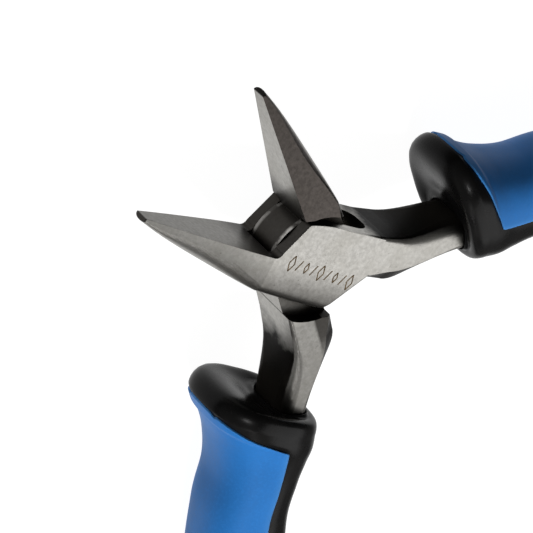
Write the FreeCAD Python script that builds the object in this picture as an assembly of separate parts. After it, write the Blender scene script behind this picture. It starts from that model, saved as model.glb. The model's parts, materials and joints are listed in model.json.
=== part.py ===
"""Box-joint jewellery pliers with slim tapering jaws, modelled as seven separate pieces.

Both halves are drawn closed, with the pivot axis on Z and the grip faces on the plane x = 0.
Outlines are written for a half whose jaw lies at x < 0 and whose handle lies at x > 0.
The tongue half is the mirror image of that, and each half is then swung open by OPEN_ANGLE.
All lengths are millimetres.
"""
import FreeCAD, Part
import math
import os

from FreeCAD import Vector

# ---------------------------------------------------------------- driving dimensions

OPEN_ANGLE = 22.5            # each half's swing away from closed, degrees

THICKNESS = 9.8              # joint and shank, front face to back face
WEB_THICKNESS = 5.8          # tongue that passes through the slot
WEB_CLEARANCE = 0.03         # between the tongue and each cheek
HUB_RADIUS = 7.5             # rounded middle of the tongue
HUB_CLEARANCE = 0.15         # between the tongue's rim and the ends of the slot
WEB_FOOT = 9.8               # how far the tongue runs down into the shank
RIVET_RADIUS = 2.0
RIVET_CLEARANCE = 0.03       # radial, in the tongue's bore only

JAW_BASE = 8.4               # distance from the pivot to the foot of the grip face
JAW_TIP = 29.6               # distance from the pivot to the tip
JAW_WIDTH = 5.75             # grip face to back of the jaw, at the foot
TIP_WIDTH = 0.75
TIP_THICKNESS = 2.3
JAW_BOW = 0.55               # how far the jaw's back bulges past a straight taper
JAW_EASE = 1.2               # power of the thickness taper; 1 is straight, more starts gently
JAW_GAP = 0.02               # left between each grip face and x = 0 when closed
SHANK_GAP = 0.12             # the same for the shanks
TONGUE_TAPER = 5.3           # where the tongue half's jaw starts to thin, in y
SHANK_SIDE = 6.4             # outer side of the joint below the cheek's corner, in x

CHEEK_NOTCH = (0.9, 7.5)     # where the cheek's edge leaves the rounded foot of the jaw
CHEEK_CORNER = (5.9, 5.25)   # far end of that edge
SHOULDER_RADIUS = 8.05       # concave foot of the tongue half's jaw
POCKET_RADIUS = 8.75         # concave top of the tongue half's shank
MATING_GAP = 0.12            # between a cheek's edge and the shoulder next to it
CHEEK_HEEL = (0.1, -9.1)     # cheek's corner between the handles
CHEEK_SIDE = -6.2            # back of the joint below the jaw, in x
EDGE_ROUND = 0.45            # broken edges round the joint

SLOT_RUNOUT = 2.1            # extra depth of the slot's rounded end, towards the shank
SLOT_LEAN = 35.6             # direction of that end from the x axis, degrees
PANEL_THICKNESS = 1.3        # of the firmer panel on each grip
GRIP_FULLNESS = 1.15         # roundness of a grip's slices

ELLIPSE = 0.5523             # handle length that turns a cubic curve into a quarter ellipse
TOUCHING = 1e-6              # distance that counts as none
BEYOND = 14.0                # from the pivot, clear of the joint on every side
PAST_TIP = 1.0               # length that a cutting shape runs on past the tips
FAR = 40.0                   # longer than anything cut with it


# ---------------------------------------------------------------- small geometry helpers

def mix(a, b, t):
    """Value a fraction t of the way from a to b."""
    return a + (b - a) * t


def corner_curve(start, corner, end, roundness=1.0):
    """Curve that turns the corner: 1 is a quarter ellipse and 0 a flat bevel."""
    pull = mix(1.0 / 3.0, ELLIPSE, roundness)
    flat = (end - start) * pull
    first = mix(start + flat, start + (corner - start) * pull, roundness)
    second = mix(end - flat, end + (corner - end) * pull, roundness)
    curve = Part.BezierCurve()
    curve.setPoles([start, first, second, end])
    return curve.toShape()


def outline(start, *steps):
    """Closed flat face on z = 0. A step is the next corner, or (middle, end) for an arc."""
    here = Vector(*start, 0)
    edges = []
    for step in steps + (start,):
        if isinstance(step[0], tuple):
            middle, end = (Vector(*point, 0) for point in step)
            edges.append(Part.Arc(here, middle, end).toShape())
        else:
            end = Vector(*step, 0)
            edges.append(Part.makeLine(here, end))
        here = end
    return Part.Face(Part.Wire(edges))


def slab(face, thickness):
    """The flat face made solid, centred on z = 0."""
    solid = face.extrude(Vector(0, 0, thickness))
    solid.translate(Vector(0, 0, -thickness / 2.0))
    return solid


def disc(radius, thickness):
    """Round slab about the pivot, centred on z = 0."""
    return Part.makeCylinder(radius, thickness, Vector(0, 0, -thickness / 2.0))


def on_circle(radius, x, side):
    """Point of a circle about the pivot at this x, on the +1 or -1 side in y."""
    return (x, side * math.sqrt(radius * radius - x * x))


def mirrored(shape):
    """The same shape on the other side of the plane between the jaws."""
    return shape.mirror(Vector(0, 0, 0), Vector(1, 0, 0))


# ---------------------------------------------------------------- jaws

def jaw_section(y, width, half_thickness, round_width, round_depth):
    """D-shaped slice of a jaw at one y: square at the grip face and rounded at the back."""
    back = -width
    half = half_thickness
    inner = CHEEK_CORNER[0] + 4.0
    front = [Vector(inner, y, half), Vector(back + round_width, y, half),
             Vector(back, y, half), Vector(back, y, half - round_depth)]
    rear = [Vector(point.x, y, -point.z) for point in front]
    return Part.Wire([
        Part.makeLine(rear[0], front[0]),
        Part.makeLine(front[0], front[1]),
        corner_curve(front[1], front[2], front[3]),
        Part.makeLine(front[3], rear[3]),
        corner_curve(rear[3], rear[2], rear[1]),
        Part.makeLine(rear[1], rear[0]),
    ])


def jaw_envelope():
    """Bounds the back and the thickness of a jaw and of the joint behind it."""
    slices = []
    for t, roundness in ((0.0, 0.30), (0.12, 0.46), (0.3, 0.70), (0.62, 0.84), (1.0, 0.84)):
        y = mix(JAW_BASE, JAW_TIP, t)
        width = mix(JAW_WIDTH, TIP_WIDTH, t) + 4.0 * JAW_BOW * t * (1.0 - t)
        half = mix(THICKNESS, TIP_THICKNESS, t ** JAW_EASE) / 2.0
        slices.append(jaw_section(y, width, half, roundness * width * 0.8, roundness * half))
    jaw = Part.makeLoft(slices, True, False)
    joint = Part.makeLoft([slices[0]] + [
        jaw_section(y, width, THICKNESS / 2.0, round_width, round_depth)
        for y, width, round_width, round_depth in (
            (2.0, mix(JAW_WIDTH, -CHEEK_SIDE, 0.6), 1.5, 0.9), (-12.0, -CHEEK_SIDE, 0.9, 0.5))
    ], True, True)
    return jaw.fuse(joint)


def taper_wedge():
    """Thins the tongue half's jaw evenly from its foot to the tip."""
    slope = (THICKNESS - TIP_THICKNESS) / 2.0 / (JAW_TIP - TONGUE_TAPER)
    ends = [(y, THICKNESS / 2.0 - slope * (y - TONGUE_TAPER)) for y in (0.0, JAW_TIP + PAST_TIP)]
    corners = ends + [(y, -z) for y, z in reversed(ends)]
    side = Part.makePolygon([Vector(-FAR, y, z) for y, z in corners + corners[:1]])
    return Part.Face(side).extrude(Vector(2.0 * FAR, 0, 0))


# ---------------------------------------------------------------- shanks and tangs

def shank_section(y, inner, outer, half, bevel, rounding, bevel_roundness=0.0):
    """Slice of a shank at one y. bevel and rounding are (width, depth) of its corners."""
    inner_face, outer_face = inner + bevel[0], outer - rounding[0]
    front = [Vector(inner, y, half - bevel[1]), Vector(inner, y, half),
             Vector(inner_face, y, half), Vector(outer_face, y, half),
             Vector(outer, y, half), Vector(outer, y, half - rounding[1])]
    rear = [Vector(point.x, y, -point.z) for point in front]
    return Part.Wire([
        Part.makeLine(rear[0], front[0]),
        corner_curve(front[0], front[1], front[2], bevel_roundness),
        Part.makeLine(front[2], front[3]),
        corner_curve(front[3], front[4], front[5]),
        Part.makeLine(front[5], rear[5]),
        corner_curve(rear[5], rear[4], rear[3]),
        Part.makeLine(rear[3], rear[2]),
        corner_curve(rear[2], rear[1], rear[0], bevel_roundness),
    ])


def shank_and_tang():
    """Everything behind the joint: bevelled shank, round neck and the tang in the grip."""
    half = THICKNESS / 2.0
    edge = (EDGE_ROUND, EDGE_ROUND)
    waist = shank_section(-12.2, SHANK_GAP, 7.0, half, (1.6, 1.0), (0.9, 0.9))
    bevelled = Part.makeLoft([
        shank_section(-5.0, SHANK_GAP, SHANK_SIDE, half, edge, edge),
        shank_section(-9.4, SHANK_GAP, 6.6, half, (0.5, 0.6), (0.6, 0.6)),
        waist,
    ], True, True)
    entry = shank_section(-30.0, 10.4, 15.2, half - 1.2, (1.5, 1.8), (1.5, 1.8), 1.0)
    neck = Part.makeLoft([
        waist,
        shank_section(-15.4, 1.2, 8.0, half - 0.1, (1.7, 1.1), (1.7, 1.5), 0.1),
        shank_section(-19.0, 4.2, 9.9, half - 0.3, (0.9, 1.2), (2.2, 2.2), 0.7),
        shank_section(-24.0, 6.8, 12.2, half - 0.6, (1.6, 2.2), (2.0, 2.2), 1.0),
        entry,
    ], True, False)
    tang = Part.makeLoft([
        entry,
        shank_section(-42.0, 18.4, 22.8, half - 1.9, (1.4, 1.4), (1.4, 1.4), 1.0),
        shank_section(-58.0, 23.0, 26.8, half - 2.3, (1.2, 1.2), (1.2, 1.2), 1.0),
        shank_section(-82.0, 20.2, 23.0, half - 2.7, (0.9, 0.9), (0.9, 0.9), 1.0),
    ], True, False)
    return bevelled.fuse([neck, tang])


# ---------------------------------------------------------------- the two steel halves

def break_edges(solid, wanted):
    """Rounds the front and back edges whose middle point passes the test."""
    edges = []
    for edge in solid.Edges:
        middle = edge.valueAt((edge.FirstParameter + edge.LastParameter) / 2.0)
        flat = edge.BoundBox.ZLength < TOUCHING
        on_face = abs(abs(middle.z) - THICKNESS / 2.0) < TOUCHING
        if flat and on_face and wanted(middle):
            edges.append(edge)
    return solid.makeFillet(EDGE_ROUND, edges)


def slot():
    """Opening through the box half that the tongue passes through."""
    reach = HUB_RADIUS + HUB_CLEARANCE
    lean = math.acos(reach / JAW_BASE)
    touch = (-reach * math.sin(lean), reach * math.cos(lean))
    turn = math.radians(SLOT_LEAN)
    across = Vector(math.cos(turn), math.sin(turn), 0)
    away = Vector(across.y, -across.x, 0)
    end = away * (reach + SLOT_RUNOUT)
    left, right = end - across * BEYOND, end + across * BEYOND
    tool = slab(outline(
        (0.0, JAW_BASE), touch, (on_circle(reach, -5.0, 1), on_circle(reach, -7.0, 1)),
        (-BEYOND, 0.0), (left.x, left.y), (right.x, right.y), (BEYOND, JAW_BASE),
    ), WEB_THICKNESS + 2.0 * WEB_CLEARANCE)
    end_edges = []
    for edge in tool.Edges:
        first, last = edge.Vertexes[0].Point, edge.Vertexes[-1].Point
        on_end = all(abs((point - end).dot(away)) < TOUCHING for point in (first, last))
        if on_end and abs(first.z - last.z) < TOUCHING:
            end_edges.append(edge)
    return tool.makeFillet(SLOT_RUNOUT, end_edges)


def box_half():
    """Forged half with a through slot between two cheeks."""
    plan = slab(outline(
        (-JAW_GAP, FAR), (-JAW_GAP, JAW_BASE), ((0.2, 7.85), CHEEK_NOTCH), CHEEK_CORNER,
        ((SHANK_SIDE, 2.0), (SHANK_SIDE, -2.0)), (SHANK_SIDE, -9.0), CHEEK_HEEL, (-4.7, -5.55),
        ((-5.65, -4.6), (CHEEK_SIDE, -3.2)), (CHEEK_SIDE - 1.0, -3.2), (CHEEK_SIDE - 1.0, FAR),
    ), THICKNESS)
    heel_side = break_edges(plan, lambda middle: middle.y < -4.0 and middle.x < 0.0)
    body = heel_side.common(jaw_envelope())
    solid = body.fuse(shank_and_tang()).removeSplitter()
    return solid.cut(slot()).cut(disc(RIVET_RADIUS, THICKNESS))


def tongue_half():
    """Forged half whose thin middle passes through the slot of the other one."""
    envelope = jaw_envelope()
    foot = JAW_BASE + MATING_GAP
    jaw = slab(outline(
        (-JAW_GAP, FAR), (-JAW_GAP, foot), on_circle(SHOULDER_RADIUS, -1.3, 1),
        (on_circle(SHOULDER_RADIUS, -3.5, 1), on_circle(SHOULDER_RADIUS, -6.5, 1)),
        (-FAR, 4.0), (-FAR, FAR),
    ), THICKNESS).common(envelope).common(taper_wedge())
    hub = disc(HUB_RADIUS, WEB_THICKNESS)
    jaw_side = slab(outline(
        (-JAW_GAP, foot), (-JAW_GAP, 0), (-FAR, 0), (-FAR, foot),
    ), WEB_THICKNESS)
    shank_side = slab(outline(
        (SHANK_GAP, 0), (SHANK_GAP, -WEB_FOOT), (FAR, -WEB_FOOT), (FAR, 0),
    ), WEB_THICKNESS)
    inside = slab(outline(
        (-FAR, FAR), (SHANK_SIDE, FAR), (SHANK_SIDE, -FAR), (-FAR, -FAR),
    ), THICKNESS)
    web = hub.fuse([jaw_side, shank_side]).common(envelope).common(inside)
    heel_x, heel_y = CHEEK_HEEL
    pocket = slab(outline(
        (-BEYOND, 0), (BEYOND, 0), on_circle(POCKET_RADIUS, 8.2, -1),
        (on_circle(POCKET_RADIUS, 5.0, -1), on_circle(POCKET_RADIUS, 1.6, -1)),
        (heel_x, heel_y - 2.0 * MATING_GAP), (-BEYOND, heel_y),
    ), THICKNESS)
    shank = shank_and_tang().cut(pocket)
    solid = web.fuse([jaw, shank]).removeSplitter()
    return solid.cut(disc(RIVET_RADIUS + RIVET_CLEARANCE, THICKNESS))


def pivot_rivet():
    """Rivet ground flush with both cheeks."""
    return disc(RIVET_RADIUS, THICKNESS)


# ---------------------------------------------------------------- grips

GRIP_SLICES = (
    # inner point, outer point, half thickness
    ((6.0, -26.6), (13.4, -19.2), 6.2),
    ((6.4, -29.2), (20.0, -15.2), 8.2),
    ((7.4, -31.3), (20.9, -18.6), 8.1),
    ((9.0, -33.4), (21.0, -23.0), 7.4),
    ((11.1, -36.4), (22.4, -28.6), 6.9),
    ((14.3, -42.2), (26.0, -35.4), 6.8),
    ((17.3, -53.0), (30.6, -48.6), 7.2),
    ((18.3, -66.0), (31.8, -66.0), 7.2),
    ((16.2, -79.0), (28.8, -81.0), 6.6),
    ((13.8, -89.0), (24.4, -92.4), 5.6),
    ((15.0, -93.2), (21.4, -95.2), 3.2),
)


def grip_section(inner, outer, half, shrink=0.0):
    """Oval slice of a grip between its inner and outer points."""
    start, end = Vector(*inner, 0), Vector(*outer, 0)
    middle = (start + end) * 0.5
    along = (end - start) * 0.5
    reach = along.Length - shrink
    along.normalize()
    up = Vector(0, 0, half - shrink)
    sides = [middle + along * reach, middle + up, middle - along * reach, middle - up]
    edges = []
    for here, there in zip(sides, sides[1:] + sides[:1]):
        edges.append(corner_curve(here, here + there - middle, there, GRIP_FULLNESS))
    return Part.Wire(edges)


def grip_body(shrink=0.0):
    """Whole handle cover, or the same shape drawn in by shrink."""
    return Part.makeLoft([grip_section(*row, shrink) for row in GRIP_SLICES], True, False)


def grip_pieces(steel):
    """Soft core and the firmer panel set into its outer side."""
    whole = grip_body()
    panel_area = slab(outline(
        (FAR, -15.4), (20.9, -15.4), ((17.7, -21.2), (13.8, -26.4)),
        ((16.2, -32.8), (19.7, -39.2)), ((23.3, -51.0), (24.5, -66.0)),
        ((23.0, -77.0), (18.9, -89.5)), (FAR, -89.5),
    ), FAR)
    overlay = whole.common(panel_area).cut(grip_body(PANEL_THICKNESS))
    core = whole.cut(overlay).cut(steel)
    return core, overlay


# ---------------------------------------------------------------- assembly

def placed(shape, angle):
    """Swings a half about the pivot and stands the joint's back face on z = 0."""
    result = shape.copy()
    result.rotate(Vector(0, 0, 0), Vector(0, 0, 1), angle)
    result.translate(Vector(0, 0, THICKNESS / 2.0))
    return result


def main():
    box = box_half()
    tongue = tongue_half()
    core, overlay = grip_pieces(shank_and_tang())
    pieces = {
        "box_half": placed(box, OPEN_ANGLE),
        "right_grip_core": placed(core, OPEN_ANGLE),
        "right_grip_overlay": placed(overlay, OPEN_ANGLE),
        "tongue_half": placed(mirrored(tongue), -OPEN_ANGLE),
        "left_grip_core": placed(mirrored(core), -OPEN_ANGLE),
        "left_grip_overlay": placed(mirrored(overlay), -OPEN_ANGLE),
        "pivot_rivet": placed(pivot_rivet(), 0.0),
    }
    os.makedirs("parts", exist_ok=True)
    for node, shape in pieces.items():
        shape.exportStep(f"parts/{node}.step")
        print(node, len(shape.Solids), "solid", shape.isValid(), round(shape.Volume, 1))


main()
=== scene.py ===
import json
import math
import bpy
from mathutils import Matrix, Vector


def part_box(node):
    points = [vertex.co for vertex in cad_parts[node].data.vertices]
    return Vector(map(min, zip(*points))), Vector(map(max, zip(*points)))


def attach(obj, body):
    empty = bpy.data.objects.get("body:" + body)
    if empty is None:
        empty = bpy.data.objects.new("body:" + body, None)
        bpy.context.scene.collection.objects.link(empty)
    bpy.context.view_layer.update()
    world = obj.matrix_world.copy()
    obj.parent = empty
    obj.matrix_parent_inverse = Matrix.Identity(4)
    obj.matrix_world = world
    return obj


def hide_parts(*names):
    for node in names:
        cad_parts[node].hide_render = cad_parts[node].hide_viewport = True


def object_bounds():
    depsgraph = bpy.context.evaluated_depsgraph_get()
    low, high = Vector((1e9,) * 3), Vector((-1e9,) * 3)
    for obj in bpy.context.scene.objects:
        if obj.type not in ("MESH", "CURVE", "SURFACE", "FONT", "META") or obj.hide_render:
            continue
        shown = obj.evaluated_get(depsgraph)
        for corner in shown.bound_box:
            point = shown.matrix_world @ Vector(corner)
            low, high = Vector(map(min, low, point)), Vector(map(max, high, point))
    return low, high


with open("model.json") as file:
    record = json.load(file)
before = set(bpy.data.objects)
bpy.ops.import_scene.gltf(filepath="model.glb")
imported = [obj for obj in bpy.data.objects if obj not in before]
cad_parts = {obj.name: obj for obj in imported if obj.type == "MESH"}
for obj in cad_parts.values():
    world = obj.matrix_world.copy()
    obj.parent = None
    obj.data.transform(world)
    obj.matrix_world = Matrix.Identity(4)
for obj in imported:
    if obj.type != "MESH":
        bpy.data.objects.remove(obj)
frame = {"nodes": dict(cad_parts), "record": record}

# Visual model of the box-joint pliers: materials for the CAD's steel pieces, shaped grips with blue
# panels, an etched border and a pale studio.

from types import SimpleNamespace

import bmesh
import bpy
import numpy as np
from mathutils import Matrix, Vector

CAD_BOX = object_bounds()
MM = 0.001
RIM = "rim"                  # mesh attribute that holds the painted highlight along the panel's edge

# Places taken from the frame: the pivot, the swing of each half and the joint's thickness.
HINGE = frame["record"]["behaviour"]["joints"][0]
PIVOT = Vector(HINGE["pos_m"])
OPEN_ANGLE = math.radians(-HINGE["range_deg"][0] / 2.0)
JOINT_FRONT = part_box("pivot_rivet")[1][2]
FLOOR_LEVEL = CAD_BOX[0][2]

# Camera, in degrees and millimetres.
CAMERA_TILT = 46.0           # from straight above the joint, towards the jaw tips
CAMERA_ROLL = -45.89
CAMERA_TURN = -0.635         # about the pivot axis
CAMERA_DISTANCE = 450.0
CAMERA_LENS = 216.7
CAMERA_SENSOR = 36.0
CAMERA_ASIDE = 4.894         # how far the pivot sits right of the picture's middle
CAMERA_ABOVE = 2.174         # and how far above it

# Light tent: a soft window over the handles, a key lamp and a dim surround.
WINDOW_DIRECTION = (0.10, -0.70, 0.70)
WINDOW_DISTANCE = 0.20
WINDOW_SIZE = 0.15
WINDOW_POWER = 0.086
KEY_DIRECTION = (-0.6, -0.3, 0.74)
KEY_DISTANCE = 0.6
KEY_SIZE = 0.14
KEY_POWER = 2.9              # lights matt surfaces only; the streak is its soft reflection
STREAK_SIZE = 0.20
STREAK_POWER = 0.50
SPARK_DIRECTION = (0.0, 0.36, 0.92)     # only seen reflected, as small bright spots
SPARK_SIZE = 0.09
SPARK_POWER = 0.60
SURROUND_AXIS = (-0.8, 0.3, -0.5)
SURROUND_LEVELS = (0.07, 0.34)

# Floor: its own glow, and what the object sees of it. That darkens to the far right, and with
# distance from the pivot.
FLOOR_REACH = 2.0
FLOOR_GAP = 0.0005           # below the object
FLOOR_GLOW = 0.97
FLOOR_SHADE_AXIS = (0.76, 0.64, 0.0)
FLOOR_SHADE_SPAN = (0.012, 0.040)
FLOOR_SHADE_LEVELS = (0.75, 0.10)
FLOOR_POOL_SPAN = (0.045, 0.105)
FLOOR_POOL_LEVELS = (1.0, 0.10)

# Grips, in millimetres, drawn closed: x towards the handle's outer side and y towards the tips.
# Each slice is its inner point, its outer point and its half thickness.
GRIP_SLICES = (
    ((6.4, -29.2), (20.5, -15.1), 8.2),
    ((7.4, -31.3), (20.6, -18.7), 8.0),
    ((9.0, -33.4), (20.8, -23.1), 7.4),
    ((11.1, -36.4), (22.3, -28.7), 6.9),
    ((14.3, -42.2), (26.0, -35.4), 6.8),
    ((17.3, -53.0), (30.6, -48.6), 7.2),
    ((18.3, -66.0), (31.8, -66.0), 7.2),
    ((16.2, -79.0), (28.8, -81.0), 6.6),
    ((13.8, -89.0), (24.4, -92.4), 5.6),
    ((14.2, -92.6), (22.2, -95.0), 4.0),
)
GRIP_SQUARENESS = 2.4        # 2 is an ellipse
TAIL_DOME = 1.6
TAIL_RINGS = 10
LIP_HEIGHT = 0.55            # raised lip round the outer side of the front end
LIP_END = (0.62, 1.05)       # where it steps down, in slices
LIP_SIDES = (-0.2, 0.6)      # cosine of the angle from the outer side, where it starts and is full
SLOPE_STEP = 0.02            # change of slice and angle over which the surface's slope is taken
LENGTH_STEP = 0.1            # slices over which a length along the grip is taken
COLLAR_INNER = (7.1, -25.2)  # where the shank enters the grip
COLLAR_OUTER = (11.5, -22.4)
COLLAR_HALF = 4.35
COLLAR_SQUARENESS = 3.6
ROUND_STEPS = 128            # vertices round a grip
FRONT_RINGS = 7              # close rings behind the rim
FRONT_END = 0.5              # slice of the last of them
BODY_START = 0.58
BODY_STEP = 0.08             # slices between the rings after that
# Cap from the collar to the rim: share of the way out, and how far ahead of the straight line.
CAP_PROFILE = (
    (0.0, -3.2), (0.0, -0.4), (0.012, 0.1), (0.03, 0.38), (0.06, 0.55), (0.095, 0.52),
    (0.13, 0.42), (0.17, 0.45), (0.22, 0.62), (0.3, 1.0), (0.42, 1.6), (0.56, 2.2), (0.7, 2.6),
    (0.8, 2.7), (0.88, 2.5), (0.94, 2.0), (0.975, 1.4), (0.995, 0.75), (1.0, 0.3),
)
CAP_HEEL = 0.45              # lead at the inner side, as a share of the outer side's
CAP_LIP_OUT = 0.2            # share of the way out at which the throat's lip ends

PANEL_PEAK = 0.04            # front edge of the blue panel at the handle's outer line, in slices
PANEL_CORNER = 1.14          # and at its sides
PANEL_SWEEP = 1.2
PANEL_SOFTEN = 0.012         # rounds that edge's peak
PANEL_TOOTH = 0.14           # small step in it
PANEL_TOOTH_PLACE = 0.2
PANEL_TOOTH_WIDTH = 0.028
PANEL_END = 8.1              # rear edge
PANEL_REACH = math.radians(95.0)   # either way from the outer line
PANEL_CORNER_ROUND = 1.0
PANEL_EDGE_ROUND = 0.5
PANEL_PROUD = 0.28
PANEL_DEPTH = 0.7
PANEL_OVERLAP = 0.1          # how far the panel's edges and floor sink into the core
PANEL_EDGE_DEPTH = 0.12      # of its underside at the edge
RECESS_EDGE = (0.25, 0.9)    # from the panel's outline, where its recess starts and is full
PANEL_ROWS = 130
PANEL_COLUMNS = 112
# Distances of the close rows from each end, and of the first row that isn't close.
PANEL_END_ROWS = (0.0, 0.03, 0.08, 0.16, 0.27, 0.4, 0.55, 0.75, 1.1)
PANEL_ROWS_START = 1.4

# Painted shade on the steel halves, and a darker tip. Spans of place are metres from the pivot, on a
# half that is drawn closed. Spans of facing are how squarely the surface looks one way. Covers are
# the most that the painted shade hides.
SIDE_FACING = (0.45, 0.7)          # towards the front; less is a side
FRONT_FACING = (0.6, 0.8)
OUT_FACING = (0.6, 0.8)            # towards the half's outer side
ABOVE_PIVOT = (0.0, 0.001)
JOINT_RADIUS = (0.0090, 0.0100)    # inside the joint
JOINT_FACING = (0.2, 0.4)          # towards the tip
JOINT_COVER = 0.93
FOOT_RADIUS = (0.0085, 0.0125)     # foot of the grip face
FOOT_COVER = 0.8
BEVEL_START = (0.0085, 0.0095)     # bevel between shank and joint
BEVEL_END = (0.0165, 0.0185)
BEVEL_SIDE_FACING = (-0.35, -0.2)  # towards the outer side; less is the bevel
BEVEL_FRONT_FACING = (0.1, 0.3)
BEVEL_COVER = 0.95
BOX_WALL_START = (0.0056, 0.0088)  # shanks' outer sides
TONGUE_WALL_START = (0.0088, 0.0130)
WALL_FACING = (0.3, 0.6)
WALL_RAGGED = 0.0012               # how far the start of that wanders
GRIP_FACE_SHADE_COVER = 0.58                  # painted shade on the slotted half's grip face
SHADE_SPAN = (-0.0056, -0.0004)    # across the slotted half's front, from its back edge
SHADE_END = (0.0085, 0.0105)
SHADE_COVER = 0.84
SHANK_START = (0.006, 0.008)       # on the front of the tongue half's shank
SHANK_COVER = 0.45
INNER_SPAN = (0.0027, 0.0031)      # painted shade for a wider bevel, on its side towards the other handle
INNER_END = (0.0120, 0.0170)
INNER_COVER = 0.86
WEB_LEVEL = (0.0030, 0.0033)       # tongue's flat face, above the middle plane
WEB_RADIUS = (0.0112, 0.0118)
WEB_COVER = 0.76
TIP_DARKENING_SPAN = (0.00030, 0.00015)     # before the jaw's tip
TIP_DARKENING_COVER = 0.95
# Painted shade in hollows, from ambient occlusion: how far a point looks for neighbours, the
# openness at which the shade is full and at which it ends, and its cover.
HOLLOWS = ((0.010, (0.42, 0.80), 0.95), (0.0018, (0.3, 0.8), 0.7))

# Front of the tongue half's jaw: painted shade, tinted brown, for the dark reflection it shows.
BROWN_FACING = (0.35, 0.6)
BROWN_START = (0.0035, 0.0055)
BROWN_COVER = 0.92

# Painted highlight on the edges of the tongue's rounded rim, brighter on the front edge.
HUB_EDGE = (0.00215, 0.00255)      # from the middle plane
HUB_RIM_START = (0.0070, 0.0073)
HUB_RIM_END = (0.0077, 0.0078)
HUB_FACING = (0.5, 0.75)           # away from the handles
HUB_COVER = 0.95
HUB_PATCHES = (0.40, 0.56)
HUB_PATCH_LEAST = 0.1
HUB_MIDDLE = (-0.001, 0.001)       # between the back edge and the front one
HUB_BACK_SHARE = 0.4               # brightness of the back edge, as a share

# Softened steel edges, except round the rivet's flush ends.
EDGE_SOFTNESS = 0.00007
EDGE_SOFT_START = (0.0058, 0.0062)

# Shine of bare steel and of the painted shade on the shanks' sides, and roughness where the mottling
# is dark and where it is light.
STEEL_METALLIC = (1.0, 0.2)
STEEL_SPECULAR = (0.15, 0.03)
STEEL_ROUGHNESS = (0.42, 0.34)

# Etched mark on the front cheek, in closed-handle millimetres.
MARK_START = (-0.2, 5.2)
MARK_END = (-1.1, -6.4)
MARK_COUNT = 9
MARK_TALL = 1.25             # half height of every fourth figure
MARK_SHORT = 0.85            # and of the others
MARK_TALL_EVERY = 4
LOZENGE_WIDTH = 0.42         # half width, as a share of half height
STROKE_LEAN = 0.3            # sideways reach of a slanted stroke
MARK_STROKE = 0.2
MARK_LIFT = 0.012
MARK_DEPTH = 0.04


# ---------------------------------------------------------------- placing

def side_matrix(mirror):
    """From closed-handle millimetres on the right to the shared frame, for either side."""
    flip = Matrix.Diagonal((-1.0 if mirror else 1.0, 1.0, 1.0, 1.0))
    swing = Matrix.Rotation(-OPEN_ANGLE if mirror else OPEN_ANGLE, 4, "Z")
    return Matrix.Translation(PIVOT) @ swing @ flip @ Matrix.Scale(MM, 4)


def mesh_object(name, points, faces, mirror, rim=None):
    """New smooth mesh object, placed on the right side or mirrored to the left.

    rim is an optional share of painted edge highlight for each point.
    """
    place = side_matrix(mirror)
    mesh = bpy.data.meshes.new(name)
    mesh.from_pydata([place @ Vector(point) for point in points], [], faces)
    edit = bmesh.new()
    edit.from_mesh(mesh)
    bmesh.ops.recalc_face_normals(edit, faces=edit.faces)
    edit.to_mesh(mesh)
    edit.free()
    for polygon in mesh.polygons:
        polygon.use_smooth = True
    if rim is not None:
        mesh.attributes.new(RIM, "FLOAT", "POINT").data.foreach_set("value", rim)
    piece = bpy.data.objects.new(name, mesh)
    bpy.context.scene.collection.objects.link(piece)
    return piece


def jaw_reach(node, mirror):
    """Distance from the pivot to the tip of a half's jaw."""
    piece = frame["nodes"][node]
    direction = (side_matrix(mirror).to_3x3() @ Vector((0.0, 1.0, 0.0))).normalized()
    return max((piece.matrix_world @ vertex.co - PIVOT).dot(direction)
               for vertex in piece.data.vertices)


# ---------------------------------------------------------------- grip surface

def smooth_step(low, high, value):
    """0 below low, 1 above high and smooth between."""
    t = np.clip((value - low) / (high - low), 0.0, 1.0)
    return t * t * (3.0 - 2.0 * t)


def slice_at(v):
    """Inner points, outer points and half thicknesses of the smooth curve through the slices.

    v is a fractional slice number, or an array of them.
    """
    rows = np.array([(*inner, *outer, half) for inner, outer, half in GRIP_SLICES])
    rows = np.vstack([2.0 * rows[0] - rows[1], rows, 2.0 * rows[-1] - rows[-2]])
    v = np.asarray(v, float)
    i = np.clip(v.astype(int), 0, len(GRIP_SLICES) - 2)
    t = (v - i)[..., None]
    p0, p1, p2, p3 = rows[i], rows[i + 1], rows[i + 2], rows[i + 3]
    row = 0.5 * (2.0 * p1 + (p2 - p0) * t + (2.0 * p0 - 5.0 * p1 + 4.0 * p2 - p3) * t ** 2
                 + (3.0 * p1 - p0 - 3.0 * p2 + p3) * t ** 3)
    return row[..., :2], row[..., 2:4], row[..., 4]


def oval_point(inner, outer, half, squareness, u):
    """Points at angle u of the oval between two points; 0 is its outer end."""
    power = 2.0 / squareness
    across = np.sign(np.cos(u)) * np.abs(np.cos(u)) ** power
    up = np.sign(np.sin(u)) * np.abs(np.sin(u)) ** power
    plan = (outer + inner) / 2.0 + (outer - inner) / 2.0 * across[..., None]
    return np.concatenate([plan, (half * up)[..., None]], axis=-1)


def grip_point(v, u, lift=0.0):
    """Points of the grip's surface, or lift millimetres above it."""
    v, u = np.broadcast_arrays(np.asarray(v, float), np.asarray(u, float))

    def plain(v_here, u_here):
        return oval_point(*slice_at(v_here), GRIP_SQUARENESS, u_here)

    point = plain(v, u)
    along = plain(v + SLOPE_STEP, u) - plain(v - SLOPE_STEP, u)
    around = plain(v, u + SLOPE_STEP) - plain(v, u - SLOPE_STEP)
    normal = np.cross(around, along)
    normal /= np.linalg.norm(normal, axis=-1, keepdims=True)
    lip = LIP_HEIGHT * (1.0 - smooth_step(*LIP_END, v)) * smooth_step(*LIP_SIDES, np.cos(u))
    return point + normal * (lip + lift)[..., None]


def girth_radius(v):
    """Mean radius of the grip at v."""
    inner, outer, half = slice_at(v)
    return (np.linalg.norm(outer - inner, axis=-1) / 2.0 + half) / 2.0


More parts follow.
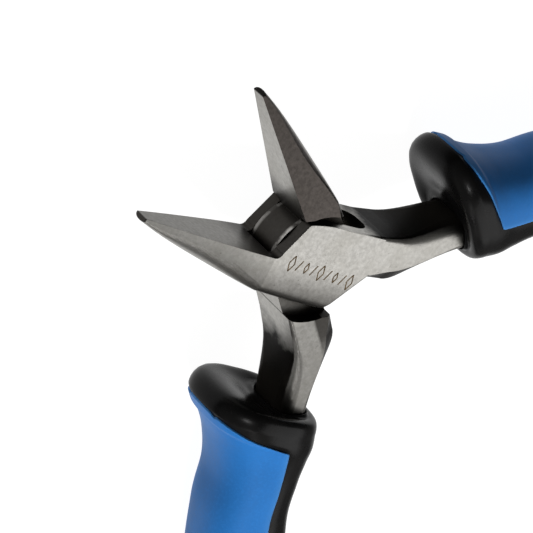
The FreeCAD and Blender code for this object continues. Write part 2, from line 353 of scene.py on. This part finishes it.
def slice_length(v):
    """Millimetres along the grip's middle per slice, at v."""
    ahead, behind = slice_at(v + LENGTH_STEP), slice_at(v - LENGTH_STEP)
    step = (ahead[0] + ahead[1] - behind[0] - behind[1]) / 2.0
    return np.maximum(np.linalg.norm(step, axis=-1) / (2.0 * LENGTH_STEP), 1.0)


def panel_front(a):
    """Slice number of the blue panel's front edge; a runs from 0 outside to 1 at its side."""
    near = np.minimum(np.sqrt(a * a + PANEL_SOFTEN) - math.sqrt(PANEL_SOFTEN), 1.0)
    tooth = PANEL_TOOTH * np.exp(-((a - PANEL_TOOTH_PLACE) / PANEL_TOOTH_WIDTH) ** 2)
    return PANEL_PEAK + (PANEL_CORNER - PANEL_PEAK) * near ** PANEL_SWEEP + tooth


def panel_inset(v, u):
    """Millimetres that a point lies inside the blue panel's outline; negative is outside."""
    turn = np.abs((u + math.pi) % (2.0 * math.pi) - math.pi)
    side = (PANEL_REACH - turn) * girth_radius(v)
    front = (v - panel_front(turn / PANEL_REACH)) * slice_length(v)
    rear = (PANEL_END - v) * slice_length(v)
    return np.minimum(np.minimum(side, front), rear)


# ---------------------------------------------------------------- grip meshes

def ring_faces(rings, count):
    """Quads between each ring of vertices and the next."""
    faces = []
    for r in range(rings - 1):
        for k in range(count):
            n = (k + 1) % count
            faces.append((r * count + k, r * count + n, (r + 1) * count + n, (r + 1) * count + k))
    return faces


def cap_rings(u):
    """Front of the grip: a throat round the steel, a thin lip and a domed face out to the rim."""
    inner, outer = np.array(COLLAR_INNER), np.array(COLLAR_OUTER)
    ahead = np.array([inner[1] - outer[1], outer[0] - inner[0], 0.0])
    ahead /= np.linalg.norm(ahead)
    throat = oval_point(inner, outer, COLLAR_HALF, COLLAR_SQUARENESS, u)
    rim = grip_point(0.0, u)
    swell = (0.5 * (1.0 + CAP_HEEL) + 0.5 * (1.0 - CAP_HEEL) * np.cos(u))[:, None]
    return [throat + (rim - throat) * out + ahead * lead * (swell if out > CAP_LIP_OUT else 1.0)
            for out, lead in CAP_PROFILE]


def grip_core_mesh():
    """Points and faces of the black rubber core, sunk under the blue panel."""
    u = np.linspace(0.0, 2.0 * math.pi, ROUND_STEPS, endpoint=False)
    rings = cap_rings(u)
    near = FRONT_END * np.linspace(0.0, 1.0, FRONT_RINGS) ** 2
    last = len(GRIP_SLICES) - 1.0
    for v in (*near, *np.arange(BODY_START, last, BODY_STEP)):
        sink = (PANEL_DEPTH + PANEL_OVERLAP) * smooth_step(*RECESS_EDGE, panel_inset(v, u))
        rings.append(grip_point(v, u, -sink))
    inner, outer = slice_at(last)[:2]
    inner_before, outer_before = slice_at(last - LENGTH_STEP)[:2]
    tail = (inner + outer - inner_before - outer_before) / 2.0
    tail = np.append(tail / np.linalg.norm(tail), 0.0) * TAIL_DOME
    middle = np.append((inner + outer) / 2.0, 0.0)
    body_end = rings[-1]
    for turn in np.linspace(0.0, math.pi / 2.0, TAIL_RINGS)[1:-1]:
        rings.append(middle + (body_end - middle) * math.cos(turn) + tail * math.sin(turn))
    points = list(np.vstack(rings))
    faces = ring_faces(len(rings), ROUND_STEPS)
    end = (len(rings) - 1) * ROUND_STEPS
    for k in range(ROUND_STEPS):
        n = (k + 1) % ROUND_STEPS
        faces.append((end + k, end + n, len(points)))
        faces.append((n, k, len(points) + 1))
    points += [middle + tail, rings[0].mean(axis=0)]
    return points, faces, None


def grip_panel_mesh():
    """Points and faces of the blue panel: a closed shell that lies in the core's recess."""
    length = sum(slice_length(v) * LENGTH_STEP
                 for v in np.arange(PANEL_PEAK, PANEL_END, LENGTH_STEP))
    near = np.array(PANEL_END_ROWS)
    middle_rows = np.linspace(PANEL_ROWS_START, length - PANEL_ROWS_START, PANEL_ROWS)
    rows = np.concatenate([near, middle_rows, length - near[::-1]])
    columns = np.linspace(-1.0, 1.0, PANEL_COLUMNS + 1)
    a, along = np.meshgrid(0.5 * columns + 0.5 * np.sin(columns * math.pi / 2.0), rows)
    front = panel_front(np.abs(a))
    v = front + (PANEL_END - front) * along / length
    from_end = np.minimum(along, length - along)
    gap = np.maximum(PANEL_CORNER_ROUND - from_end, 0.0)
    cut = PANEL_CORNER_ROUND - np.sqrt(PANEL_CORNER_ROUND ** 2 - gap ** 2)
    reach = PANEL_REACH - cut / girth_radius(v)
    inset = np.minimum((1.0 - np.abs(a)) * reach * girth_radius(v), from_end)
    swell = np.sqrt(1.0 - (1.0 - np.minimum(inset / PANEL_EDGE_ROUND, 1.0)) ** 2)
    top = grip_point(v, a * reach, (PANEL_PROUD + PANEL_OVERLAP) * swell - PANEL_OVERLAP)
    sunk = (PANEL_DEPTH - PANEL_OVERLAP) * smooth_step(*RECESS_EDGE, inset)
    bottom = grip_point(v, a * reach, -PANEL_EDGE_DEPTH - sunk)
    width, height = PANEL_COLUMNS + 1, len(rows)
    under = width * height
    faces = []
    for r in range(height - 1):
        for k in range(PANEL_COLUMNS):
            i = r * width + k
            quad = (i, i + 1, i + width + 1, i + width)
            faces.append(quad)
            faces.append(tuple(under + corner for corner in reversed(quad)))
    border = (list(range(width))
              + [r * width + width - 1 for r in range(1, height)]
              + [(height - 1) * width + k for k in reversed(range(width - 1))]
              + [r * width for r in reversed(range(1, height - 1))])
    for here, there in zip(border, border[1:] + border[:1]):
        faces.append((there, here, under + here, under + there))
    # Share of painted highlight, strongest at the panel's edge.
    rim = np.exp(-(inset / PANEL_EDGE_ROUND) ** 2).ravel()
    return (list(top.reshape(-1, 3)) + list(bottom.reshape(-1, 3)), faces,
            np.concatenate([rim, rim]))


# ---------------------------------------------------------------- colours

STEEL_DARK = (0.46, 0.448, 0.420)
STEEL_LIGHT = (0.58, 0.567, 0.535)
STEEL_CLOUD = (0.43, 0.415, 0.375)
STEEL_SPECK = (0.15, 0.135, 0.115)
STEEL_PAINTED_HIGHLIGHT = (0.62, 0.60, 0.57)
BROWN_DARK = (0.070, 0.058, 0.052)
BROWN_LIGHT = (0.104, 0.087, 0.078)
PAINTED_SHADE_AND_TIP_TONE = (0.024, 0.021, 0.018)
PAINTED_SHADE_BLACK = (0.0055, 0.005, 0.0045)
RUBBER_DARK = (0.0030, 0.0030, 0.0032)
RUBBER_LIGHT = (0.0065, 0.0062, 0.0060)
DUST = (0.03, 0.029, 0.027)
BLUE_DARK = (0.011, 0.160, 0.50)
BLUE_LIGHT = (0.015, 0.195, 0.60)
BLUE_GRAIN = (0.03, 0.245, 0.70)
BLUE_PAINTED_HIGHLIGHT = (0.10, 0.34, 0.72)
ETCH_DARK = (0.075, 0.045, 0.018)
ETCH_LIGHT = (0.19, 0.13, 0.065)
PAPER_DARK = (0.14, 0.14, 0.14)
PAPER_LIGHT = (0.17, 0.17, 0.17)
PAPER_GLOW = (1.0, 1.0, 1.0)
SKY = (1.0, 0.985, 0.965)


# ---------------------------------------------------------------- node helpers

def new_material(name):
    """New node material, its tree and its surface shader."""
    material = bpy.data.materials.new(name)
    material.use_nodes = True
    tree = material.node_tree
    return material, tree, tree.nodes["Principled BSDF"]


def add_node(tree, kind, inputs, **settings):
    """New node with its settings and input values; an input given as a socket is linked."""
    node = tree.nodes.new(kind)
    for key, value in settings.items():
        setattr(node, key, value)
    for key, value in inputs.items():
        if isinstance(value, bpy.types.NodeSocket):
            tree.links.new(value, node.inputs[key])
        else:
            node.inputs[key].default_value = value
    return node


def texture_place(tree, kind="Object"):
    """Socket of the piece's own coordinates, or of its "Normal" in them."""
    return add_node(tree, "ShaderNodeTexCoord", {}).outputs[kind]


def noise(tree, vector, scale, detail, roughness, stretch=(1.0, 1.0, 1.0)):
    """Noise value socket; stretch scales its axes to draw grain out."""
    stretched = add_node(tree, "ShaderNodeMapping", {"Vector": vector, "Scale": stretch}).outputs[0]
    return add_node(tree, "ShaderNodeTexNoise", {
        "Vector": stretched, "Scale": scale, "Detail": detail, "Roughness": roughness}).outputs[0]


def remap(tree, value, span, levels):
    """Value stretched from a span to two levels and clamped."""
    return add_node(tree, "ShaderNodeMapRange", {
        "Value": value, "From Min": span[0], "From Max": span[1],
        "To Min": levels[0], "To Max": levels[1]}).outputs[0]


def rise(tree, value, span, most=1.0):
    """Socket that is 0 before the span and most after it."""
    return remap(tree, value, span, (0.0, most))


def fall(tree, value, span, most=1.0):
    """Socket that is most before the span and 0 after it."""
    return remap(tree, value, span, (most, 0.0))


def blend_colors(tree, factor, first, second):
    """Colour socket a share of the way from one colour to another; either can be a socket."""
    node = tree.nodes.new("ShaderNodeMix")
    node.data_type = "RGBA"
    factor_input, first_input, second_input = node.inputs[0], node.inputs[6], node.inputs[7]
    tree.links.new(factor, factor_input)
    for value, target in ((first, first_input), (second, second_input)):
        if isinstance(value, bpy.types.NodeSocket):
            tree.links.new(value, target)
        else:
            target.default_value = (*value, 1.0)
    return node.outputs[2]


def combine(tree, operation, first, second=0.0):
    """Socket of two values combined."""
    return add_node(tree, "ShaderNodeMath", {0: first, 1: second}, operation=operation).outputs[0]


def product(tree, *values):
    """Socket of any number of values multiplied."""
    result = values[0]
    for value in values[1:]:
        result = combine(tree, "MULTIPLY", result, value)
    return result


def dot_with(tree, vector, axis):
    """Socket of a vector's length along an axis."""
    return add_node(tree, "ShaderNodeVectorMath", {0: vector, 1: axis},
                    operation="DOT_PRODUCT").outputs["Value"]


def length_of(tree, vector):
    """Socket of a vector's length."""
    return add_node(tree, "ShaderNodeVectorMath", {0: vector}, operation="LENGTH").outputs["Value"]


def add_relief(tree, surface, height, strength, depth, **inputs):
    """Fine bumps on a surface."""
    bump = add_node(tree, "ShaderNodeBump", {
        "Height": height, "Strength": strength, "Distance": depth, **inputs})
    tree.links.new(bump.outputs[0], surface.inputs["Normal"])


# ---------------------------------------------------------------- steel

def half_sockets(tree, mirror):
    """Sockets of a point's place on a half, in metres from the pivot, and of the way it faces."""
    axes = side_matrix(mirror).to_3x3()
    out, tip, front = (axes @ Vector(axis) / MM for axis in np.eye(3))
    object_place, normal = texture_place(tree), texture_place(tree, "Normal")
    from_pivot = add_node(tree, "ShaderNodeVectorMath", {0: object_place, 1: PIVOT},
                          operation="SUBTRACT").outputs[0]
    flat = add_node(tree, "ShaderNodeVectorMath", {0: from_pivot, 1: (1.0, 1.0, 0.0)},
                    operation="MULTIPLY").outputs[0]
    up = dot_with(tree, from_pivot, tip)
    return SimpleNamespace(
        place=object_place,
        from_pivot=from_pivot,
        radius=length_of(tree, flat),
        aside=dot_with(tree, from_pivot, out),
        up=up,
        down=product(tree, up, -1.0),
        height=dot_with(tree, from_pivot, front),
        normal=normal,
        faces_out=dot_with(tree, normal, out),
        faces_tip=dot_with(tree, normal, tip),
        faces_front=dot_with(tree, normal, front))


def painted_shade_masks(tree, at):
    """Sockets of painted shade on either half: inside the joint, at the grip face's foot and on the
    bevel.
    """
    joint = product(tree, fall(tree, at.radius, JOINT_RADIUS, JOINT_COVER),
                    rise(tree, at.faces_tip, JOINT_FACING),
                    fall(tree, at.faces_front, SIDE_FACING))
    foot = product(tree, fall(tree, at.radius, FOOT_RADIUS, FOOT_COVER),
                   rise(tree, at.faces_out, OUT_FACING),
                   rise(tree, at.up, ABOVE_PIVOT))
    bevel = product(tree, rise(tree, at.down, BEVEL_START, BEVEL_COVER),
                    fall(tree, at.down, BEVEL_END),
                    fall(tree, at.faces_out, BEVEL_SIDE_FACING),
                    rise(tree, at.faces_front, BEVEL_FRONT_FACING))
    return joint, foot, bevel


def slotted_painted_shade(tree, at):
    """Sockets of painted shade on the slotted half: its grip face and its front's back edge."""
    grip_face = product(tree, rise(tree, at.faces_out, OUT_FACING, GRIP_FACE_SHADE_COVER),
                        rise(tree, at.up, ABOVE_PIVOT))
    back_edge = product(tree, fall(tree, at.aside, SHADE_SPAN, SHADE_COVER),
                        rise(tree, at.faces_front, FRONT_FACING),
                        fall(tree, at.down, SHADE_END))
    return grip_face, back_edge


def tongue_painted_shade(tree, at):
    """Sockets of painted shade on the tongue half: its shank's front, the tongue's flat face and an
    inner edge.
    """
    on_front = rise(tree, at.faces_front, FRONT_FACING)
    shank = product(tree, rise(tree, at.down, SHANK_START, SHANK_COVER), on_front)
    web = product(tree, fall(tree, at.height, WEB_LEVEL, WEB_COVER),
                  fall(tree, at.radius, WEB_RADIUS), on_front)
    inner_edge = product(tree, fall(tree, at.aside, INNER_SPAN, INNER_COVER), on_front,
                         rise(tree, at.down, SHANK_START),
                         fall(tree, at.down, INNER_END))
    return shank, web, inner_edge


def painted_dark_wall(tree, at, start):
    """Socket of near-black painted shade on the outer side of a half's shank."""
    ragged = remap(tree, noise(tree, at.from_pivot, scale=300.0, detail=3.0, roughness=0.6),
                   (0.3, 0.7), (-WALL_RAGGED, WALL_RAGGED))
    return product(tree, rise(tree, combine(tree, "ADD", at.down, ragged), start),
                   rise(tree, at.faces_out, WALL_FACING),
                   fall(tree, at.faces_front, SIDE_FACING))


def painted_rim_highlight(tree, at):
    """Socket of the painted highlight on the edges of the tongue's rounded rim."""
    patches = noise(tree, at.from_pivot, scale=420.0, detail=3.0, roughness=0.6)
    return product(tree, rise(tree, combine(tree, "ABSOLUTE", at.height), HUB_EDGE),
                   rise(tree, at.radius, HUB_RIM_START),
                   fall(tree, at.radius, HUB_RIM_END),
                   rise(tree, dot_with(tree, at.normal, (0.0, 1.0, 0.0)), HUB_FACING, HUB_COVER),
                   remap(tree, patches, HUB_PATCHES, (HUB_PATCH_LEAST, 1.0)),
                   remap(tree, at.height, HUB_MIDDLE, (HUB_BACK_SHARE, 1.0)))


def bare_steel_color(tree, place, mottle):
    """Colour socket of clean ground steel: mottled, clouded and specked."""
    cloud = noise(tree, place, scale=260.0, detail=3.0, roughness=0.5)
    specks = noise(tree, place, scale=1900.0, detail=2.0, roughness=0.5)
    color = blend_colors(tree, rise(tree, mottle, (0.34, 0.66)), STEEL_DARK, STEEL_LIGHT)
    color = blend_colors(tree, rise(tree, cloud, (0.42, 0.70), 0.45), color, STEEL_CLOUD)
    return blend_colors(tree, rise(tree, specks, (0.68, 0.76), 0.45), color, STEEL_SPECK)


def jaw_front_painted_shade(tree, at, mottle, color):
    """The colour, with painted shade, tinted brown, on the front of the jaw."""
    brown = blend_colors(tree, rise(tree, mottle, (0.36, 0.64)), BROWN_DARK, BROWN_LIGHT)
    mask = product(tree, rise(tree, at.faces_front, BROWN_FACING, BROWN_COVER),
                   rise(tree, at.up, BROWN_START))
    return blend_colors(tree, mask, color, brown)


def steel_material(name, reach, mirror):
    """Satin ground tool steel: fine grain, mottling, a darker tip, painted shade and painted
    highlights.

    reach is how far the jaw's tip is from the pivot. The mirrored half is the tongue half.
    """
    material, tree, surface = new_material(name)
    at = half_sockets(tree, mirror)
    mottle = noise(tree, at.place, scale=1700.0, detail=5.0, roughness=0.65)
    color = bare_steel_color(tree, at.place, mottle)
    # The tongue half's jaw front gets painted shade, tinted brown.
    if mirror:
        color = jaw_front_painted_shade(tree, at, mottle, color)
    # Darker at the jaw's tip.
    tip_darkening = rise(tree, at.up, [reach - before for before in TIP_DARKENING_SPAN], TIP_DARKENING_COVER)
    # Painted shade, and the darker tip, laid over the bare colour.
    painted_shades = tongue_painted_shade(tree, at) if mirror else slotted_painted_shade(tree, at)
    for mask in (tip_darkening, *painted_shade_masks(tree, at), *painted_shades):
        color = blend_colors(tree, mask, color, PAINTED_SHADE_AND_TIP_TONE)
    # Near-black painted shade on the shank's outer side, which also makes it less metallic.
    wall = painted_dark_wall(tree, at, TONGUE_WALL_START if mirror else BOX_WALL_START)
    color = blend_colors(tree, wall, color, PAINTED_SHADE_BLACK)
    # Painted shade in hollows.
    for distance, openness, cover in HOLLOWS:
        hollow = add_node(tree, "ShaderNodeAmbientOcclusion", {"Distance": distance}, samples=12)
        color = blend_colors(tree, fall(tree, hollow.outputs["AO"], openness, cover), color, PAINTED_SHADE_AND_TIP_TONE)
    # Painted highlight on the tongue's rim edges.
    if mirror:
        color = blend_colors(tree, painted_rim_highlight(tree, at), color, STEEL_PAINTED_HIGHLIGHT)
    for value, target in (
            (color, "Base Color"),
            (remap(tree, wall, (0.0, 1.0), STEEL_METALLIC), "Metallic"),
            (remap(tree, wall, (0.0, 1.0), STEEL_SPECULAR), "Specular IOR Level"),
            (remap(tree, mottle, (0.3, 0.7), STEEL_ROUGHNESS), "Roughness")):
        tree.links.new(value, surface.inputs[target])
    softness = rise(tree, length_of(tree, at.from_pivot), EDGE_SOFT_START, EDGE_SOFTNESS)
    edge = add_node(tree, "ShaderNodeBevel", {"Radius": softness}, samples=8).outputs[0]
    grain = noise(tree, at.place, scale=3200.0, detail=3.0, roughness=0.7, stretch=(1.0, 0.3, 1.0))
    relief = combine(tree, "ADD", grain, product(tree, mottle, 0.35))
    add_relief(tree, surface, relief, strength=0.4, depth=0.00002, Normal=edge)
    return material


# ---------------------------------------------------------------- other materials

def rubber_material(name):
    """Black moulded rubber with a soft gloss, faint flow marks and dust."""
    material, tree, surface = new_material(name)
    place = texture_place(tree)
    cloud = noise(tree, place, scale=180.0, detail=3.0, roughness=0.5)
    fine = noise(tree, place, scale=2600.0, detail=3.0, roughness=0.6)
    color = blend_colors(tree, rise(tree, cloud, (0.4, 0.7)), RUBBER_DARK, RUBBER_LIGHT)
    color = blend_colors(tree, rise(tree, fine, (0.62, 0.75), 0.3), color, DUST)
    tree.links.new(color, surface.inputs["Base Color"])
    tree.links.new(remap(tree, cloud, (0.35, 0.7), (0.22, 0.32)), surface.inputs["Roughness"])
    surface.inputs["Specular IOR Level"].default_value = 0.16
    add_relief(tree, surface, fine, strength=0.25, depth=0.00003)
    return material


def panel_material(name):
    """Matte blue soft-touch plastic with a fine grain and a painted highlight along its edge."""
    material, tree, surface = new_material(name)
    place = texture_place(tree)
    cloud = noise(tree, place, scale=90.0, detail=4.0, roughness=0.55)
    fine = noise(tree, place, scale=2200.0, detail=3.0, roughness=0.65)
    rim = add_node(tree, "ShaderNodeAttribute", {}, attribute_name=RIM).outputs["Fac"]
    color = blend_colors(tree, rise(tree, cloud, (0.35, 0.68)), BLUE_DARK, BLUE_LIGHT)
    color = blend_colors(tree, rise(tree, fine, (0.45, 0.75), 0.35), color, BLUE_GRAIN)
    # Painted highlight, paler blue, along the panel's edge.
    color = blend_colors(tree, product(tree, rim, 0.35), color, BLUE_PAINTED_HIGHLIGHT)
    tree.links.new(color, surface.inputs["Base Color"])
    tree.links.new(remap(tree, fine, (0.3, 0.7), (0.50, 0.62)), surface.inputs["Roughness"])
    surface.inputs["Specular IOR Level"].default_value = 0.35
    surface.inputs["Sheen Weight"].default_value = 0.12
    surface.inputs["Sheen Roughness"].default_value = 0.45
    add_relief(tree, surface, fine, strength=0.3, depth=0.00004)
    return material


def etching_material(name):
    """Brown oxide left by an etched mark."""
    material, tree, surface = new_material(name)
    patch = noise(tree, texture_place(tree), scale=1800.0, detail=3.0, roughness=0.6)
    color = blend_colors(tree, rise(tree, patch, (0.35, 0.65)), ETCH_DARK, ETCH_LIGHT)
    tree.links.new(color, surface.inputs["Base Color"])
    surface.inputs["Metallic"].default_value = 0.35
    surface.inputs["Roughness"].default_value = 0.6
    return material


def floor_material(name):
    """Pale glowing studio paper; what the object sees of it darkens away from the joint."""
    material, tree, surface = new_material(name)
    place = texture_place(tree)
    fibre = noise(tree, place, scale=900.0, detail=3.0, roughness=0.6)
    tree.links.new(blend_colors(tree, fibre, PAPER_DARK, PAPER_LIGHT), surface.inputs["Base Color"])
    surface.inputs["Roughness"].default_value = 0.9
    surface.inputs["Emission Color"].default_value = (*PAPER_GLOW, 1.0)
    surface.inputs["Emission Strength"].default_value = FLOOR_GLOW
    side_level = remap(tree, dot_with(tree, place, FLOOR_SHADE_AXIS), FLOOR_SHADE_SPAN,
                       FLOOR_SHADE_LEVELS)
    pool_level = remap(tree, length_of(tree, place), FLOOR_POOL_SPAN, FLOOR_POOL_LEVELS)
    seen = add_node(tree, "ShaderNodeEmission", {"Strength": product(tree, side_level, pool_level)})
    camera_ray = add_node(tree, "ShaderNodeLightPath", {}).outputs["Is Camera Ray"]
    mixed = add_node(tree, "ShaderNodeMixShader", {
        0: camera_ray, 1: seen.outputs[0], 2: surface.outputs[0]})
    tree.links.new(mixed.outputs[0], tree.nodes["Material Output"].inputs["Surface"])
    return material


def dress(piece, material):
    """Gives the whole piece one material."""
    piece.data.materials.clear()
    piece.data.materials.append(material)


# ---------------------------------------------------------------- etched mark

def etched_bar(start, end):
    """Corners of a thin straight stroke."""
    along = (end - start).normalized()
    aside = Vector((-along.y, along.x)) * MARK_STROKE / 2.0
    return [start - aside, end - aside, end + aside, start + aside]


def etched_mark():
    """Plain border of open lozenges and slanted strokes across the front cheek."""
    start, end = Vector(MARK_START), Vector(MARK_END)
    along = (end - start).normalized()
    up = Vector((-along.y, along.x))
    lift = (JOINT_FRONT - PIVOT.z) / MM + MARK_LIFT
    strokes = []
    for k in range(MARK_COUNT):
        middle = start.lerp(end, k / (MARK_COUNT - 1.0))
        tall = MARK_TALL if k % MARK_TALL_EVERY == 0 else MARK_SHORT
        if k % 2 == 0:
            aside, above = along * LOZENGE_WIDTH * tall, up * tall
            corners = [middle - aside, middle - above, middle + aside, middle + above]
            strokes += [(corners[i], corners[(i + 1) % 4]) for i in range(4)]
        else:
            lean = along * STROKE_LEAN + up * tall
            strokes.append((middle - lean, middle + lean))
    points, faces = [], []
    for first, last in strokes:
        base = len(points)
        corners = etched_bar(first, last)
        points += [(corner.x, corner.y, lift) for corner in corners]
        points += [(corner.x, corner.y, lift - MARK_DEPTH) for corner in corners]
        faces.append(tuple(base + k for k in range(4)))
        faces.append(tuple(base + 7 - k for k in range(4)))
        faces += [(base + k, base + (k + 1) % 4, base + 4 + (k + 1) % 4, base + 4 + k)
                  for k in range(4)]
    piece = mesh_object("etched_mark", points, faces, False)
    for polygon in piece.data.polygons:
        polygon.use_smooth = False
    return piece


# ---------------------------------------------------------------- studio

def camera_axes():
    """Camera's right, up and backward directions."""
    tilt, roll = math.radians(CAMERA_TILT), math.radians(CAMERA_ROLL)
    back = Vector((0.0, math.sin(tilt), math.cos(tilt)))
    right, up = Vector((1.0, 0.0, 0.0)), Vector((0.0, math.cos(tilt), -math.sin(tilt)))
    rolled_right = right * math.cos(roll) + up * math.sin(roll)
    rolled_up = up * math.cos(roll) - right * math.sin(roll)
    turn = Matrix.Rotation(math.radians(CAMERA_TURN), 3, "Z")
    return turn @ rolled_right, turn @ rolled_up, turn @ back


def add_camera():
    """Camera at the photograph's viewing angle."""
    right, up, back = camera_axes()
    data = bpy.data.cameras.new("camera")
    data.lens = CAMERA_LENS
    data.sensor_width = CAMERA_SENSOR
    camera = bpy.data.objects.new("camera", data)
    bpy.context.scene.collection.objects.link(camera)
    eye = back * CAMERA_DISTANCE - right * CAMERA_ASIDE - up * CAMERA_ABOVE
    matrix = Matrix((right, up, back)).transposed().to_4x4()
    matrix.translation = PIVOT + eye * MM
    camera.matrix_world = matrix
    bpy.context.scene.camera = camera


def add_light(name, direction, distance, size, power):
    """Square soft light that shines at the joint from a direction."""
    data = bpy.data.lights.new(name, "AREA")
    data.size = size
    data.energy = power
    light = bpy.data.objects.new(name, data)
    bpy.context.scene.collection.objects.link(light)
    ray = Vector(direction).normalized()
    light.location = PIVOT + ray * distance
    light.rotation_euler = ray.to_track_quat("Z", "Y").to_euler()
    return light


def add_sky():
    """Dim surround, darkest on the right."""
    world = bpy.data.worlds.new("studio_sky")
    world.use_nodes = True
    tree = world.node_tree
    towards = dot_with(tree, texture_place(tree, "Generated"), Vector(SURROUND_AXIS).normalized())
    background = tree.nodes["Background"]
    background.inputs["Color"].default_value = (*SKY, 1.0)
    tree.links.new(remap(tree, towards, (-1.0, 1.0), SURROUND_LEVELS), background.inputs["Strength"])
    bpy.context.scene.world = world


def add_studio():
    """Pale floor and plain soft light."""
    edit = bmesh.new()
    bmesh.ops.create_grid(edit, x_segments=2, y_segments=2, size=FLOOR_REACH)
    mesh = bpy.data.meshes.new("floor")
    edit.to_mesh(mesh)
    edit.free()
    floor = bpy.data.objects.new("floor", mesh)
    floor.location.z = FLOOR_LEVEL - FLOOR_GAP
    bpy.context.scene.collection.objects.link(floor)
    dress(floor, floor_material("studio_paper"))
    add_sky()
    add_light("window", WINDOW_DIRECTION, WINDOW_DISTANCE, WINDOW_SIZE, WINDOW_POWER)
    key = add_light("key", KEY_DIRECTION, KEY_DISTANCE, KEY_SIZE, KEY_POWER)
    key.visible_glossy = False
    streak = add_light("streak", KEY_DIRECTION, KEY_DISTANCE, STREAK_SIZE, STREAK_POWER)
    streak.visible_diffuse = False
    spark = add_light("spark", SPARK_DIRECTION, KEY_DISTANCE, SPARK_SIZE, SPARK_POWER)
    spark.visible_diffuse = False
    bpy.context.scene.view_settings.view_transform = "Standard"


# ---------------------------------------------------------------- assembly

def dress_steel():
    """Gives the CAD's own steel pieces their materials."""
    for node, mirror in (("box_half", False), ("tongue_half", True)):
        steel = steel_material(f"{node}_steel", jaw_reach(node, mirror), mirror)
        dress(frame["nodes"][node], steel)
    rivet_steel = steel_material("rivet_steel", jaw_reach("box_half", False), False)
    dress(frame["nodes"]["pivot_rivet"], rivet_steel)


def add_grips():
    """Rubber core and blue panel on each handle."""
    rubber, blue = rubber_material("moulded_rubber"), panel_material("soft_blue_plastic")
    for (points, faces, rim), part, node, material, slot in (
            (grip_core_mesh(), "rubber_core", "core", rubber, "black_grip"),
            (grip_panel_mesh(), "blue_panel", "overlay", blue, "blue_panel")):
        for side, body in (("right", "slotted_side"), ("left", "tongue_side")):
            piece = mesh_object(f"{side}_{part}", points, faces, side == "left", rim)
            dress(piece, material)
            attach(piece, body)
            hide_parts(f"{side}_grip_{node}")


def add_mark():
    """Etched border on the slotted half."""
    mark = etched_mark()
    dress(mark, etching_material("etched_oxide"))
    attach(mark, "slotted_side")


dress_steel()
add_grips()
add_mark()
add_studio()
add_camera()
